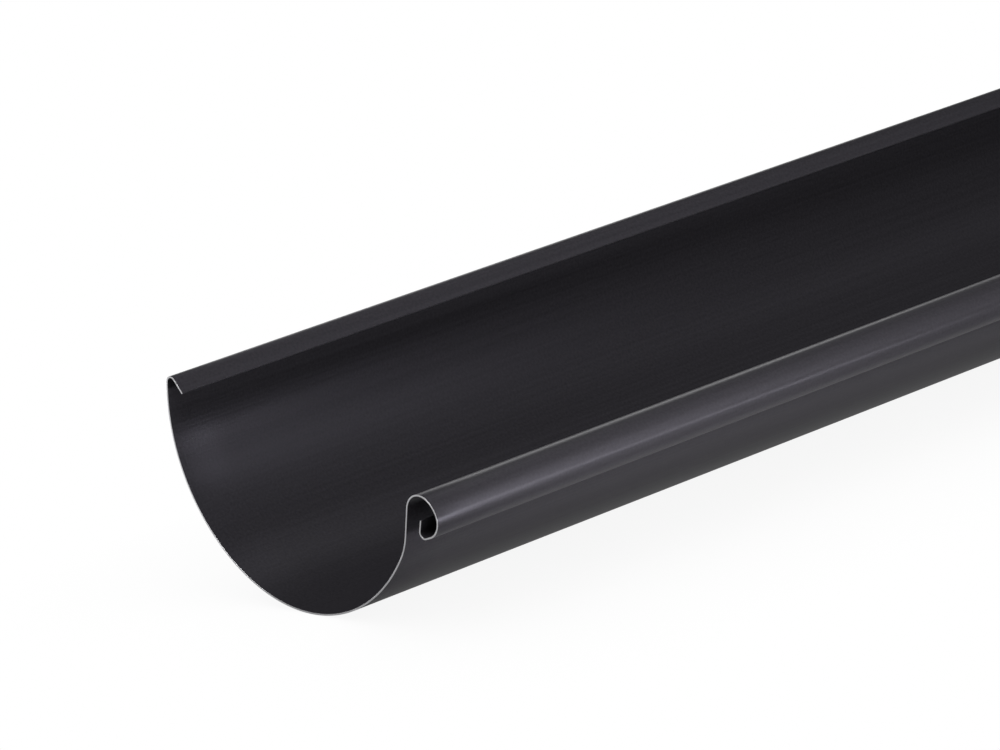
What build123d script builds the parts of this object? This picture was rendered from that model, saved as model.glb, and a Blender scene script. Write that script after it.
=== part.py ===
"""One length of half-round steel gutter, roll-formed from one strip of sheet.

The section is drawn as the gutter hangs, level, seen from its near end: x points to the back, towards
the wall of the house, and y points up, from an origin on the trough's axis. It is then laid down the way
a loose length comes to rest, rolled a little towards its heavy front bead.
"""
from build123d import *
import os
from math import atan2, cos, sin

# Stock
gutter_length = 2000.0
sheet = 0.6

# Trough, of the nominal 125 mm half-round size inside, opening out a little before the front wall.
# All other radii and lengths are those of the sheet's middle.
trough_bore = 125.0
trough_turn = 131.0
front_flank_radius = 67.0
front_flank_turn = 23.0
front_blend_radius = 25.0
front_blend_turn = 22.0
front_wall_height = 10.8

# Back edge, folded inwards and down
back_rise = 2.0
back_fold_radius = 2.2
lip_slope = 41.5
lip_length = 5.8

# Front bead, rolled outwards, down and back under, with a short lip turned up inside it
shoulder_radius = 6.8
shoulder_turn = 98.0
nose_radius = 8.9
nose_turn = 52.0
heel_radius = 6.6
heel_turn = 89.0
underside_length = 2.4
return_radius = 2.0
return_turn = 123.0
return_lip_length = 4.0

middle_radius = (trough_bore + sheet) / 2
outer_radius = trough_bore / 2 + sheet

# Line of the sheet's middle, from the back wall both ways: up to the lip, and down round to the bead
with BuildLine() as middle:
    back_wall = Line((middle_radius, 0), (middle_radius, back_rise))
    back_fold = JernArc(back_wall @ 1, back_wall % 1, back_fold_radius, 90 + lip_slope)
    lip = PolarLine(back_fold @ 1, lip_length, direction=back_fold % 1)

    trough = JernArc(back_wall @ 0, (0, -1), middle_radius, -trough_turn)
    flank = JernArc(trough @ 1, trough % 1, front_flank_radius, -front_flank_turn)
    blend = JernArc(flank @ 1, flank % 1, front_blend_radius, -front_blend_turn)
    front_wall = PolarLine(blend @ 1, front_wall_height, direction=blend % 1)

    shoulder = JernArc(front_wall @ 1, front_wall % 1, shoulder_radius, shoulder_turn)
    nose = JernArc(shoulder @ 1, shoulder % 1, nose_radius, nose_turn)
    heel = JernArc(nose @ 1, nose % 1, heel_radius, heel_turn)
    underside = PolarLine(heel @ 1, underside_length, direction=heel % 1)
    return_bend = JernArc(underside @ 1, underside % 1, return_radius, return_turn)
    return_lip = PolarLine(return_bend @ 1, return_lip_length, direction=return_bend % 1)

# A loose length rolls on its round back until its weight hangs straight below the trough's axis.
balance = middle.line.center(CenterOf.MASS)
roll = atan2(-balance.X, -balance.Y)
lying = Plane(
    origin=(-gutter_length / 2, 0, outer_radius),
    x_dir=(0, cos(roll), sin(roll)),
    z_dir=(1, 0, 0),
)

with BuildPart() as gutter:
    with BuildSketch(lying):
        with BuildLine():
            add(middle.line)
        trace(line_width=sheet)
    extrude(amount=gutter_length)

gutter.part.label = "gutter"

os.makedirs("parts", exist_ok=True)
export_step(gutter.part, "parts/gutter.step")
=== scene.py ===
"""Looks of one length of half-round steel gutter: coated sheet, bare cut edges, and a white studio.

Lengths are in metres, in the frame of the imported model: x runs along the gutter, -y is the front with
the bead, and z is up from the floor that the round back lies on.
"""
from math import atan2, cos, pi, radians, sin

import bpy
import numpy as np
from bpy.props import FloatProperty, FloatVectorProperty, IntProperty, PointerProperty
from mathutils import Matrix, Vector


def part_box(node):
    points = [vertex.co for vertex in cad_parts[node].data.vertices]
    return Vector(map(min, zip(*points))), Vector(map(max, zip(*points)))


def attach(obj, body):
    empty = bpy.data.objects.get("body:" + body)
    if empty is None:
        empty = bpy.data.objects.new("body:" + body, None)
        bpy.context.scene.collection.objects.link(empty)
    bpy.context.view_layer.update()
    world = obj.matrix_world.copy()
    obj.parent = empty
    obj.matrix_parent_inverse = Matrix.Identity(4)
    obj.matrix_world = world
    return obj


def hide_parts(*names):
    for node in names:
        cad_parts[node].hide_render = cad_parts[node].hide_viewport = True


bl_info = {
    "name": "Half-round gutter length",
    "version": (1, 0, 0),
    "blender": (4, 5, 0),
    "location": "3D View > Sidebar > Gutter",
    "description": "Makes a coated half-round gutter length and the studio that shows it",
    "category": "Add Mesh",
}

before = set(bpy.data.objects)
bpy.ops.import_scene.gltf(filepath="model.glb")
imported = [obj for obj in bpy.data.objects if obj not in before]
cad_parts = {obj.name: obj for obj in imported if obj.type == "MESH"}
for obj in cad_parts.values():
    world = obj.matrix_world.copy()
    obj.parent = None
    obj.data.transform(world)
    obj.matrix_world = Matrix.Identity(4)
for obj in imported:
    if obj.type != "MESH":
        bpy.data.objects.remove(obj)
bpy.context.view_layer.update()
NODE = "gutter"
NODE_LOW, NODE_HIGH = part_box(NODE)
COAT = "coated_steel"
WHITE = (1.0, 1.0, 1.0, 1.0)

# Place of the round trough among the stretches of the section.
TROUGH = 3
# Points along the sheet at which its weight is summed.
BALANCE_POINTS = 4000
# Points of a rounded corner, and how deep its centre lies, in edge roundings.
CORNER_POINTS = 4
CORNER_DEPTH = 1.5
# Share of a cut end's rounding that is bare steel.
BARE_SHARE = 0.9
# Least angle between two faces that keeps their edge sharp.
SHARP_ANGLE = radians(40)
# Middle of the range of a Noise Texture.
NOISE_MIDDLE = 0.5
SHADOW_SAMPLES = 16

# Film width in mm and farthest distance of the camera.
FILM_WIDTH = 36.0
VIEW_REACH = 200.0

WIDE = radians(180)
BEAM = radians(70)
NEAR = NODE_LOW.x
MIDDLE = (NODE_LOW.x + NODE_HIGH.x) / 2
FAR = NODE_HIGH.x

# Each soft lamp: name, x that its place and aim are measured from, place, aim, size, watts and spread.
LAMPS = (
    ("back_lamp", MIDDLE, (0.0, 1.299, 0.800), (0.0, 0.0, 0.05), (2.6, 0.4), 2.6, WIDE),
    ("back_lamp_side", NEAR, (1.139, 1.115, 0.776), (0.25, 0.0, 0.05), (0.6, 0.6), 1.7, WIDE),
    ("front_lamp", MIDDLE, (0.0, -1.061, 1.111), (0.0, 0.0, 0.05), (2.6, 0.4), 2.0, WIDE),
    ("top_lamp", NEAR, (-0.174, -0.199, 0.775), (0.10, 0.0, 0.05), (0.35, 0.35), 4.6, WIDE),
    ("top_lamp_far", NEAR, (0.438, 0.0, 0.775), (0.10, 0.0, 0.05), (0.35, 0.35), 0.4, WIDE),
    ("side_lamp", NEAR, (0.585, -0.723, 0.358), (0.10, -0.03, 0.05), (0.35, 0.35), 1.0, WIDE),
    ("bead_lamp_high", NEAR, (0.380, -0.580, 0.160), (0.08, -0.06, 0.16), (0.16, 0.30), 0.7, WIDE),
    ("bead_lamp_low", NEAR, (0.380, -0.580, 0.050), (0.08, -0.06, 0.04), (0.16, 0.04), 0.6, WIDE),
    ("bead_strip", NEAR, (0.250, -0.300, 0.013), (0.25, 0.0, 0.013), (0.4, 0.024), 0.5, WIDE),
    ("far_front_lamp", FAR, (-0.55, -0.60, 0.60), (-0.55, 0.0, 0.04), (1.0, 0.3), 1.6, BEAM),
    ("far_back_lamp", FAR, (-0.55, 0.60, 0.50), (-0.55, 0.0, 0.04), (1.0, 0.3), 1.6, BEAM),
    ("far_front_low_lamp", FAR, (-0.50, -0.60, 0.10), (-0.50, 0.0, 0.10), (1.0, 0.15), 0.6, BEAM),
    ("back_low_lamp", MIDDLE, (0.0, 0.80, 0.05), (0.0, 0.0, 0.05), (2.4, 0.09), 2.3, WIDE),
)

# Each card that lies on the floor and glows upwards: name, x it is measured from, place, size and watts.
CARDS = (
    ("end_card", NEAR, (-0.140, 0.160), (0.24, 0.24), 0.10),
    ("under_card", MIDDLE, (0.0, -0.060), (2.0, 0.03), 0.035),
    ("floor_card_outer", NEAR, (0.075, -0.360), (0.15, 0.18), 4.0),
    ("floor_card_inner", NEAR, (0.075, -0.220), (0.15, 0.10), 0.5),
)
CARD_HEIGHT = 0.002
CARD_AIM = 1.0


class GutterShape(bpy.types.PropertyGroup):
    """Section of the bent sheet. Radii and runs are those of the sheet's middle, apart from the bore."""

    length: FloatProperty(
        name="Length", description="Length of the gutter", default=NODE_HIGH.x - NODE_LOW.x, unit="LENGTH"
    )
    sheet: FloatProperty(name="Sheet", description="Thickness of the sheet", default=0.0006, unit="LENGTH")
    bore: FloatProperty(
        name="Bore", description="Diameter inside the round trough", default=0.125, unit="LENGTH"
    )
    lip_length: FloatProperty(
        name="Lip", description="Straight run of the folded-in back lip", default=0.0058, unit="LENGTH"
    )
    lip_slope: FloatProperty(
        name="Lip slope", description="Fall of the back lip", default=radians(41.5), subtype="ANGLE"
    )
    fold_radius: FloatProperty(
        name="Back fold", description="Radius of the back edge's fold", default=0.0022, unit="LENGTH"
    )
    back_rise: FloatProperty(
        name="Back rise", description="Upright run over the trough", default=0.002, unit="LENGTH"
    )
    trough_turn: FloatProperty(
        name="Trough turn", description="Part of a circle that the trough takes",
        default=radians(131), subtype="ANGLE",
    )
    flank_radius: FloatProperty(
        name="Front flank", description="Radius where the trough opens out in front", default=0.067,
        unit="LENGTH",
    )
    flank_turn: FloatProperty(
        name="Front flank turn", description="Turn of the front flank",
        default=radians(23), subtype="ANGLE",
    )
    blend_radius: FloatProperty(
        name="Front blend", description="Radius between flank and front wall", default=0.025, unit="LENGTH"
    )
    blend_turn: FloatProperty(
        name="Front blend turn", description="Turn between flank and front wall",
        default=radians(22), subtype="ANGLE",
    )
    wall: FloatProperty(
        name="Front wall", description="Straight run under the bead", default=0.0108, unit="LENGTH"
    )
    shoulder_radius: FloatProperty(
        name="Shoulder", description="Radius of the bead's top", default=0.0068, unit="LENGTH"
    )
    shoulder_turn: FloatProperty(
        name="Shoulder turn", description="Turn of the bead's top", default=radians(98), subtype="ANGLE"
    )
    nose_radius: FloatProperty(
        name="Nose", description="Radius of the bead's front", default=0.0089, unit="LENGTH"
    )
    nose_turn: FloatProperty(
        name="Nose turn", description="Turn of the bead's front", default=radians(52), subtype="ANGLE"
    )
    heel_radius: FloatProperty(
        name="Heel", description="Radius of the bead's lower front", default=0.0066, unit="LENGTH"
    )
    heel_turn: FloatProperty(
        name="Heel turn", description="Turn of the bead's lower front", default=radians(89), subtype="ANGLE"
    )
    underside: FloatProperty(
        name="Underside", description="Straight run under the bead's hollow", default=0.0024, unit="LENGTH"
    )
    return_radius: FloatProperty(
        name="Return bend", description="Radius of the bend up to the return lip", default=0.002,
        unit="LENGTH",
    )
    return_turn: FloatProperty(
        name="Return turn", description="Turn up to the return lip", default=radians(123), subtype="ANGLE"
    )
    return_lip: FloatProperty(
        name="Return lip", description="Straight lip inside the bead", default=0.004, unit="LENGTH"
    )
    edge_round: FloatProperty(
        name="Edge rounding", description="Radius of a cut edge's corners", default=0.00008, unit="LENGTH"
    )
    bend_step: FloatProperty(
        name="Bend step", description="Largest turn between two points of a bend",
        default=radians(5), subtype="ANGLE",
    )
    trough_step: FloatProperty(
        name="Trough step", description="Largest turn between two points of the trough",
        default=radians(1.5), subtype="ANGLE",
    )
    stations: IntProperty(
        name="Stations", description="Cross-sections along the gutter", default=96, min=2
    )


class CoatFinish(bpy.types.PropertyGroup):
    """Satin coil coat, and the steel that shows where the sheet was cut."""

    coat_colour: FloatVectorProperty(
        name="Coat", description="Colour of the coat", default=(0.0204, 0.0193, 0.0224), subtype="COLOR"
    )
    coat_roughness: FloatProperty(
        name="Coat roughness", description="Roughness of the coat", default=0.30, subtype="FACTOR"
    )
    coat_shine: FloatProperty(
        name="Coat shine", description="Specular level of the dull coat", default=0.10, subtype="FACTOR"
    )
    shine_colour: FloatVectorProperty(
        name="Shine", description="Tint of the coat's shine", default=(1.0, 0.96, 1.18), subtype="COLOR"
    )
    grain_size: FloatProperty(
        name="Grain", description="Size of the coat's fine grain", default=0.0010, unit="LENGTH"
    )
    grain_height: FloatProperty(
        name="Grain height", description="Height of the coat's grain", default=0.000035, unit="LENGTH"
    )
    grain_contrast: FloatProperty(
        name="Grain contrast", description="How far the grain shades the coat", default=0.95
    )
    line_width: FloatProperty(
        name="Rolling lines", description="Width of the faint lines along the sheet",
        default=0.0012, unit="LENGTH",
    )
    line_run: FloatProperty(
        name="Line run", description="Length over which the lines and waves change", default=0.25,
        unit="LENGTH",
    )
    line_height: FloatProperty(
        name="Line height", description="Height of the rolling lines", default=0.00005, unit="LENGTH"
    )
    line_contrast: FloatProperty(
        name="Line contrast", description="How far the lines shade the coat", default=0.45
    )
    line_roughness: FloatProperty(
        name="Line roughness", description="How far the lines vary the roughness", default=0.10
    )
    wave_width: FloatProperty(
        name="Roll waves", description="Width of the slight waves that the rolls leave",
        default=0.014, unit="LENGTH",
    )
    wave_height: FloatProperty(
        name="Wave height", description="Height of the roll waves", default=0.00008, unit="LENGTH"
    )
    steel_colour: FloatVectorProperty(
        name="Steel", description="Colour of the cut steel", default=(0.85, 0.85, 0.87), subtype="COLOR"
    )
    steel_roughness: FloatProperty(
        name="Steel roughness", description="Roughness of the cut steel", default=0.45, subtype="FACTOR"
    )


class Studio(bpy.types.PropertyGroup):
    """White floor, soft lamps and the camera."""

    lens: FloatProperty(name="Lens", description="Focal length in mm on 36 mm film", default=207.32)
    camera_place: FloatVectorProperty(
        name="Camera place", description="Where the camera stands",
        default=(-2.18546, -1.48897, 0.55371), subtype="TRANSLATION",
    )
    camera_turn: FloatVectorProperty(
        name="Camera turn", description="Turn of the camera about X, Y and Z",
        default=(radians(75.7256), radians(7.8493), radians(-42.7800)), subtype="EULER",
    )
    floor_size: FloatProperty(
        name="Floor", description="Side of the floor", default=120.0, unit="LENGTH"
    )
    floor_colour: FloatVectorProperty(
        name="Floor colour", description="Colour that the floor gives back to the light",
        default=(0.85, 0.85, 0.85), subtype="COLOR",
    )
    world_light: FloatProperty(
        name="World light", description="Strength of the even light from all round", default=0.15
    )
    reflected_white: FloatProperty(
        name="Reflected white", description="Share of the white background that the coat mirrors",
        default=0.30, subtype="FACTOR",
    )
    contact_shadow: FloatProperty(
        name="Contact shadow", description="Darkest part of the shadow on the white floor",
        default=0.09, subtype="FACTOR",
    )
    shadow_reach: FloatProperty(
        name="Shadow reach", description="How far the contact shadow spreads", default=0.10, unit="LENGTH"
    )


class Wire:
    """A node's output in a material, whose arithmetic adds Math nodes."""

    def __init__(self, graph, socket):
        self.graph = graph
        self.socket = socket

    def __add__(self, other):
        return self.graph.math("ADD", self, other)

    def __sub__(self, other):
        return self.graph.math("SUBTRACT", self, other)

    def __rsub__(self, other):
        return self.graph.math("SUBTRACT", other, self)

    def __mul__(self, other):
        return self.graph.math("MULTIPLY", self, other)

    __radd__ = __add__
    __rmul__ = __mul__


class Graph:
    """The nodes of one material or world."""

    def __init__(self, owner):
        owner.use_nodes = True
        self.tree = owner.node_tree
        self.tree.nodes.clear()

    def add(self, kind, settings=None, inputs=None, output=0):
        """Adds one node, with its settings first and then its sockets' values or links."""
        node = self.tree.nodes.new(kind)
        for name, value in (settings or {}).items():
            setattr(node, name, value)
        for key, value in (inputs or {}).items():
            if isinstance(value, Wire):
                self.tree.links.new(value.socket, node.inputs[key])
            else:
                node.inputs[key].default_value = value
        return Wire(self, node.outputs[output]) if node.outputs else None

    def math(self, operation, *values):
        """One Math node, fed by numbers or by other nodes."""
        return self.add("ShaderNodeMath", {"operation": operation}, dict(enumerate(values)))

    def mix_colour(self, factor, a, b):
        """Colour a where the factor is 0, and b where it is 1."""
        settings = {"data_type": "RGBA"}
        return self.add("ShaderNodeMix", settings, {"Factor": factor, "A": a, "B": b}, "Result")


def colour(values):
    """An opaque colour, as a socket takes it."""
    return (*values, 1.0)


def stretches(shape):
    """Run and turn of each stretch of the sheet's middle, and the largest turn between two of its points.

    They go from the lip's free edge round to the bead's.
    """
    trough_radius = (shape.bore + shape.sheet) / 2
    fold_turn = pi / 2 + shape.lip_slope
    bends = [
        (shape.lip_length, 0, shape.bend_step),
        (shape.fold_radius * fold_turn, -fold_turn, shape.bend_step),
        (shape.back_rise, 0, shape.bend_step),
        (trough_radius * shape.trough_turn, -shape.trough_turn, shape.trough_step),
        (shape.flank_radius * shape.flank_turn, -shape.flank_turn, shape.trough_step),
        (shape.blend_radius * shape.blend_turn, -shape.blend_turn, shape.bend_step),
        (shape.wall, 0, shape.bend_step),
        (shape.shoulder_radius * shape.shoulder_turn, shape.shoulder_turn, shape.bend_step),
        (shape.nose_radius * shape.nose_turn, shape.nose_turn, shape.bend_step),
        (shape.heel_radius * shape.heel_turn, shape.heel_turn, shape.bend_step),
        (shape.underside, 0, shape.bend_step),
        (shape.return_radius * shape.return_turn, shape.return_turn, shape.bend_step),
        (shape.return_lip, 0, shape.bend_step),
    ]
    return np.array(bends, dtype=float).T


def along_heading(run, turn, heading):
    """Step made by a stretch of constant curvature: a chord of run sin(turn/2)/(turn/2), half a turn on."""
    chord = run * np.sinc(turn / 2 / pi)
    middle = heading + turn / 2
    return np.stack([chord * np.cos(middle), chord * np.sin(middle)], axis=-1)


def hanging_point(shape, along, across=0.0):
    """Point of the hanging section: along the sheet's middle from the lip's edge, then across it.

    The start of each stretch is the sum of the steps before it, and the trough's first point lies level
    with the origin on its axis.
    """
    runs, turns, _ = stretches(shape)
    headings = shape.lip_slope + np.cumsum(np.append(0, turns[:-1]))
    starts = np.vstack([[0, 0], np.cumsum(along_heading(runs, turns, headings), axis=0)])
    trough_start = np.array([(shape.bore + shape.sheet) / 2, 0])
    starts += trough_start - starts[TROUGH]
    bounds = np.append(0, np.cumsum(runs))
    part = np.clip(np.searchsorted(bounds, along, side="right") - 1, 0, len(runs) - 1)
    done = along - bounds[part]
    turned = turns[part] * done / runs[part]
    point = starts[part] + along_heading(done, turned, headings[part])
    heading = headings[part] + turned
    normal = np.stack([np.sin(heading), -np.cos(heading)], axis=-1)
    return point + normal * np.asarray(across)[..., None]


def lying_point(shape, along, across):
    """The same point once the gutter lies with its weight straight below the trough's axis."""
    total = stretches(shape)[0].sum()
    even = (np.arange(BALANCE_POINTS) + 0.5) * total / BALANCE_POINTS
    balance = hanging_point(shape, even).mean(axis=0)
    roll = atan2(-balance[0], -balance[1])
    y, z = hanging_point(shape, along, across).T
    height = shape.bore / 2 + shape.sheet
    return y * cos(roll) - z * sin(roll), y * sin(roll) + z * cos(roll) + height


def half_outlines(shape, insets):
    """Upper half of the sheet's outline laid flat, once for each inset, from one slit edge to the other.

    It is a rectangle with rounded corners, drawn in by the inset, so its corners are circles about points
    that stay where they are. Each row of the arrays, along and across the sheet, is one outline.
    """
    runs, turns, steps = stretches(shape)
    counts = np.maximum(np.ceil(np.abs(turns) / steps), 2).astype(int)
    ends = np.cumsum(runs)
    pieces = zip(ends - runs, ends, counts)
    flat = np.concatenate([np.linspace(*piece, endpoint=False) for piece in pieces])[1:]
    size = (len(insets), len(flat))
    inset = insets[:, None]
    depth = CORNER_DEPTH * shape.edge_round
    reach = depth - inset
    swing = np.linspace(0, pi / 2, CORNER_POINTS)
    corner = depth - reach * np.cos(swing)
    corner_across = shape.sheet / 2 - depth + reach * np.sin(swing)
    flat_across = np.broadcast_to(shape.sheet / 2 - inset, size)
    along = np.hstack([corner, np.broadcast_to(flat, size), ends[-1] - corner[:, ::-1]])
    across = np.hstack([corner_across, flat_across, corner_across[:, ::-1]])
    return along, across


def gutter_mesh(shape):
    """The sheet as one closed mesh: rings of its outline carried along x, and a ribbon over each cut end.

    At a cut end the outline is drawn in by r(1 - sin a) while x moves on by r(1 - cos a), for a from 0 to
    90 degrees, which rounds its corners.
    """
    angle = np.linspace(0, pi / 2, CORNER_POINTS)
    end_insets = shape.edge_round * (1 - np.sin(angle))
    end_x = -shape.length / 2 + shape.edge_round * (1 - np.cos(angle))
    body_x = np.linspace(end_x[-1], -end_x[-1], shape.stations)[1:-1]
    x = np.concatenate([end_x, body_x, -end_x[::-1]])
    insets = np.concatenate([end_insets, np.zeros(len(body_x)), end_insets[::-1]])

    along, across = half_outlines(shape, insets)
    along = np.hstack([along, along[:, ::-1]])
    across = np.hstack([across, -across[:, ::-1]])
    count = along.shape[1]
    y, z = lying_point(shape, along.ravel(), across.ravel())
    points = np.stack([np.repeat(x, count), y, z], axis=-1)

    row = np.arange(len(x) - 1)[:, None] * count
    here = np.arange(count)[None, :]
    after = (here + 1) % count
    walls = np.stack([row + here, row + after, row + count + after, row + count + here], axis=-1)
    top = np.arange(count // 2 - 1)
    ribbon = np.stack([top, count - 1 - top, count - 2 - top, top + 1], axis=-1)
    far = ribbon[:, ::-1] + (len(x) - 1) * count
    faces = np.concatenate([walls.reshape(-1, 4), ribbon, far])
    return points, faces, along.ravel(), across.ravel()


def cut_edge(shape, x):
    """1 where the cut steel shows, on the two cut ends, and 0 on the coat."""
    from_end = shape.length / 2 - np.abs(x)
    return (from_end < shape.edge_round * BARE_SHARE).astype(float)


def put_mesh(name, points, faces):
    """Adds a mesh object to the scene from arrays of points and of faces."""
    mesh = bpy.data.meshes.new(name)
    mesh.from_pydata(points.tolist(), [], faces.tolist())
    mesh.update()
    piece = bpy.data.objects.new(name, mesh)
    bpy.context.scene.collection.objects.link(piece)
    return piece


def give_attribute(mesh, name, kind, values):
    """Gives each point of a mesh a number or a vector, for a material to read."""
    field = "vector" if kind == "FLOAT_VECTOR" else "value"
    mesh.attributes.new(name, kind, "POINT").data.foreach_set(field, np.ravel(values))


def along_the_rolls(graph, place, width, run, detail):
    """Noise that varies over the width across the sheet, and over the much longer run along the gutter."""
    stretched = graph.add("ShaderNodeMapping", {}, {"Vector": place, "Scale": (1 / width, 1 / run, 1.0)})
    return graph.add("ShaderNodeTexNoise", {}, {"Vector": stretched, "Scale": 1.0, "Detail": detail})


def coated_steel(finish):
    """Satin anthracite coat with a fine grain and faint rolling lines, and bare steel on the cut ends.

    The pattern follows the sheet: its place is the run across the sheet, the run along the gutter, and
    the side.
    """
    material = bpy.data.materials.new(COAT)
    graph = Graph(material)
    place = graph.add("ShaderNodeAttribute", {"attribute_name": "sheet_place"}, output="Vector")
    bare = graph.add("ShaderNodeAttribute", {"attribute_name": "cut_edge"}, output="Fac")

    grain = graph.add(
        "ShaderNodeTexNoise", {}, {"Vector": place, "Scale": 1 / finish.grain_size, "Detail": 3.0}
    )
    lines = along_the_rolls(graph, place, finish.line_width, finish.line_run, 4.0)
    waves = along_the_rolls(graph, place, finish.wave_width, finish.line_run, 0.0)

    relief = grain * finish.grain_height + lines * finish.line_height + waves * finish.wave_height
    bump = graph.add("ShaderNodeBump", {}, {"Height": relief, "Distance": 1.0, "Strength": 1.0})
    grain_swing = grain - NOISE_MIDDLE
    line_swing = lines - NOISE_MIDDLE
    shade = grain_swing * finish.grain_contrast + line_swing * finish.line_contrast + 1.0
    coat = graph.add(
        "ShaderNodeVectorMath", {"operation": "SCALE"}, {0: finish.coat_colour, "Scale": shade}
    )
    base = graph.mix_colour(bare, coat, colour(finish.steel_colour))
    coat_roughness = line_swing * finish.line_roughness + finish.coat_roughness
    roughness = coat_roughness + (finish.steel_roughness - coat_roughness) * bare
    shader = graph.add(
        "ShaderNodeBsdfPrincipled",
        {},
        {
            "Base Color": base,
            "Metallic": bare,
            "Roughness": roughness,
            "Normal": bump,
            "IOR": 1.5,
            "Specular IOR Level": finish.coat_shine,
            "Specular Tint": colour(finish.shine_colour),
        },
    )
    graph.add("ShaderNodeOutputMaterial", {}, {"Surface": shader})
    return material


def background_shown(graph, share):
    """How white a ray sees the background: 1 from the camera and through glass, a share in a reflection."""
    camera, through, glossy = (
        graph.add("ShaderNodeLightPath", output=f"Is {kind} Ray")
        for kind in ("Camera", "Transmission", "Glossy")
    )
    return graph.math("MAXIMUM", graph.math("MAXIMUM", camera, through), glossy * share)


def floor_white(studio):
    """Matt floor that the camera sees as white, apart from a soft shadow by the sheet.

    The shadow is the floor's ambient occlusion, so the white beyond its reach is even.
    """
    material = bpy.data.materials.new("white_floor")
    graph = Graph(material)
    shown = background_shown(graph, 1.0)
    white = background_shown(graph, studio.reflected_white)
    open_light = graph.add(
        "ShaderNodeAmbientOcclusion",
        {"samples": SHADOW_SAMPLES},
        {"Distance": studio.shadow_reach},
        "AO",
    )
    strength = white * (1 - (1 - open_light) * studio.contact_shadow)
    matt = graph.add("ShaderNodeBsdfDiffuse", {}, {"Color": colour(studio.floor_colour)})
    glow = graph.add("ShaderNodeEmission", {}, {"Color": WHITE, "Strength": strength})
    surface = graph.add("ShaderNodeMixShader", {}, {0: shown, 1: matt, 2: glow})
    graph.add("ShaderNodeOutputMaterial", {}, {"Surface": surface})
    return material


def world_white(studio):
    """Even light at a low level, which the camera sees as white."""
    world = bpy.data.worlds.new("white_studio")
    graph = Graph(world)
    white = background_shown(graph, studio.reflected_white)
    level = graph.math("MAXIMUM", white, studio.world_light)
    sky = graph.add("ShaderNodeBackground", {}, {"Color": WHITE, "Strength": level})
    graph.add("ShaderNodeOutputWorld", {}, {"Surface": sky})
    return world


class GUTTER_OT_sheet(bpy.types.Operator):
    """Make the gutter's sheet, bent and coated, with bare cut ends"""

    bl_idname = "gutter.sheet"
    bl_label = "Gutter sheet"

    def execute(self, context):
        shape = context.scene.gutter_shape
        points, faces, along, across = gutter_mesh(shape)
        piece = put_mesh("gutter_sheet", points, faces)
        place = np.stack([along, points[:, 0], np.sign(across)], axis=-1)
        give_attribute(piece.data, "sheet_place", "FLOAT_VECTOR", place)
        give_attribute(piece.data, "cut_edge", "FLOAT", cut_edge(shape, points[:, 0]))
        piece.data.materials.append(coated_steel(context.scene.gutter_finish))
        piece.data.shade_smooth()
        piece.data.set_sharp_from_angle(angle=SHARP_ANGLE)
        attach(piece, "root")
        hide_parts(NODE)
        return {"FINISHED"}


def lay_floor(studio):
    """Adds the floor, a square about the origin."""
    half = studio.floor_size / 2
    corners = np.array([(-half, -half, 0), (half, -half, 0), (half, half, 0), (-half, half, 0)])
    floor = put_mesh("floor", corners, np.array([[0, 1, 2, 3]]))
    floor.data.materials.append(floor_white(studio))


def soft_lamp(name, place, aim, size, power, spread):
    """Adds an area lamp that the camera doesn't see, aimed from one place at another."""
    light = bpy.data.lights.new(name, "AREA")
    light.shape = "RECTANGLE"
    light.size, light.size_y = size
    light.energy = power
    light.spread = spread
    lamp = bpy.data.objects.new(name, light)
    lamp.location = place
    lamp.rotation_euler = (Vector(aim) - Vector(place)).to_track_quat("-Z", "Y").to_euler()
    lamp.visible_camera = False
    bpy.context.scene.collection.objects.link(lamp)


def hang_lamps():
    """Adds the soft lamps, and the cards that glow up from the floor."""
    for name, start, place, aim, size, power, spread in LAMPS:
        place = (start + place[0], place[1], place[2])
        aim = (start + aim[0], aim[1], aim[2])
        soft_lamp(name, place, aim, size, power, spread)
    for name, start, (x, y), size, power in CARDS:
        soft_lamp(name, (start + x, y, CARD_HEIGHT), (start + x, y, CARD_AIM), size, power, WIDE)


def place_camera(studio):
    """Adds the camera, in the photo's view."""
    data = bpy.data.cameras.new("camera")
    data.lens = studio.lens
    data.sensor_width = FILM_WIDTH
    data.clip_end = VIEW_REACH
    camera = bpy.data.objects.new("camera", data)
    camera.location = studio.camera_place
    camera.rotation_euler = studio.camera_turn
    bpy.context.scene.collection.objects.link(camera)
    bpy.context.scene.camera = camera


class GUTTER_OT_stage(bpy.types.Operator):
    """Make the white floor, the even light, the soft lamps and the camera"""

    bl_idname = "gutter.stage"
    bl_label = "Studio"

    def execute(self, context):
        scene = context.scene
        lay_floor(scene.gutter_studio)
        scene.world = world_white(scene.gutter_studio)
        hang_lamps()
        place_camera(scene.gutter_studio)
        scene.view_settings.view_transform = "Standard"
        return {"FINISHED"}


GROUPS = {"gutter_shape": GutterShape, "gutter_finish": CoatFinish, "gutter_studio": Studio}


class GUTTER_PT_panel(bpy.types.Panel):
    """Lists the sizes and colours, and the operators that make the pieces"""

    bl_label = "Gutter"
    bl_idname = "GUTTER_PT_panel"
    bl_space_type = "VIEW_3D"
    bl_region_type = "UI"
    bl_category = "Gutter"

    def draw(self, context):
        for name in GROUPS:
            group = getattr(context.scene, name)
            box = self.layout.box()
            for key in group.__annotations__:
                box.prop(group, key)
        self.layout.operator("gutter.sheet")
        self.layout.operator("gutter.stage")


CLASSES = (*GROUPS.values(), GUTTER_OT_sheet, GUTTER_OT_stage, GUTTER_PT_panel)


def register():
    """Registers the classes, and gives the scene its groups of sizes and colours."""
    for item in CLASSES:
        bpy.utils.register_class(item)
    for name, group in GROUPS.items():
        setattr(bpy.types.Scene, name, PointerProperty(type=group))


def unregister():
    """Takes away again what register added."""
    for name in GROUPS:
        delattr(bpy.types.Scene, name)
    for item in reversed(CLASSES):
        bpy.utils.unregister_class(item)


def main():
    register()
    bpy.ops.gutter.sheet()
    bpy.ops.gutter.stage()


if __name__ == "__main__":
    main()
